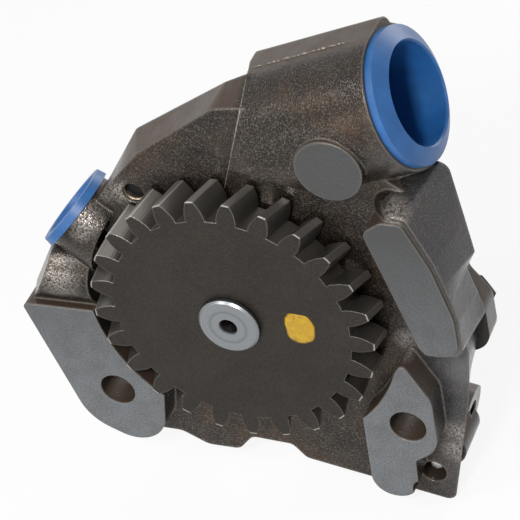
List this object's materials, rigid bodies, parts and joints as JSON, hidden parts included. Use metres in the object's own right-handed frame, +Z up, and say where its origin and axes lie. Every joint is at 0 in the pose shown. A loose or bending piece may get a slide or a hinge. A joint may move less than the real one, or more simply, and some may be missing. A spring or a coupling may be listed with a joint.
{
  "type": "engine oil pump",
  "caption": "Gear-type engine oil pump: helical drive gear before a cast body with bolting pads, a pumping gear pair, a relief valve, and plugged inlet and outlet ports.",
  "frame": {"origin": "midway between the two mounting holes, on the machined plane of the mounting pads", "axes": "+X along the line of the two mounting holes, -Y out of the pads towards the drive gear's face, +Z up with both ports above the holes"},
  "size_m": [0.1806, 0.0679, 0.205],
  "materials": {
    "casting": "oiled dark grey iron casting with machined pads",
    "housing": "oiled dark grey iron casting",
    "gear": "hobbed and shaved steel, darkened by oil",
    "shaft": "turned and ground steel",
    "bronze": "bored bronze",
    "bolt": "blackened steel",
    "pin": "bright ground steel",
    "spring": "drawn wire",
    "gasket": "dark sheet",
    "plug": "moulded soft blue plastic"
  },
  "bodies": {
    "casing": {"pump_body": "casting", "rear_housing": "housing", "housing_gasket": "gasket", "thrust_washer": "bronze", "front_bush": "bronze", "rear_bush": "bronze", "idler_shaft": "shaft", "housing_bolts": "bolt", "housing_washers": "bolt", "dowel_pins": "pin", "relief_spring": "spring", "relief_spring_cup": "shaft", "relief_pin": "pin"},
    "drive": {"drive_shaft": "shaft", "drive_gear": "gear", "pump_drive_gear": "gear", "pump_gear_key": "pin"},
    "driven": {"pump_driven_gear": "gear", "idler_bush": "bronze"},
    "plunger": {"relief_plunger": "shaft"},
    "inlet_plug": {"inlet_plug": "plug"},
    "outlet_plug": {"outlet_plug": "plug"}
  },
  "joints": [
    {"name": "drive_spin", "type": "hinge", "parent": "casing", "child": "drive", "pos_m": [-0.0018, 0, 0.0465], "axis": [0, 1, 0], "continuous": true},
    {"name": "driven_spin", "type": "hinge", "parent": "casing", "child": "driven", "pos_m": [0.0402, 0, 0.0465], "axis": [0, 1, 0], "continuous": true},
    {"name": "relief_slide", "type": "slide", "parent": "casing", "child": "plunger", "axis": [0.9744, 0, -0.225], "range_m": [0, 0.006], "stiffness_N_per_m": 6000, "springref_m": -0.004, "deforming": ["relief_spring"]},
    {"name": "inlet_plug_slide", "type": "slide", "parent": "casing", "child": "inlet_plug", "axis": [0.9373, 0, 0.3486], "range_m": [0, 0.03]},
    {"name": "outlet_plug_slide", "type": "slide", "parent": "casing", "child": "outlet_plug", "axis": [-0.7337, 0, 0.6794], "range_m": [0, 0.02]}
  ],
  "couplings": [
    {"joint": "driven_spin", "follows": "drive_spin", "ratio": -1}
  ]
}
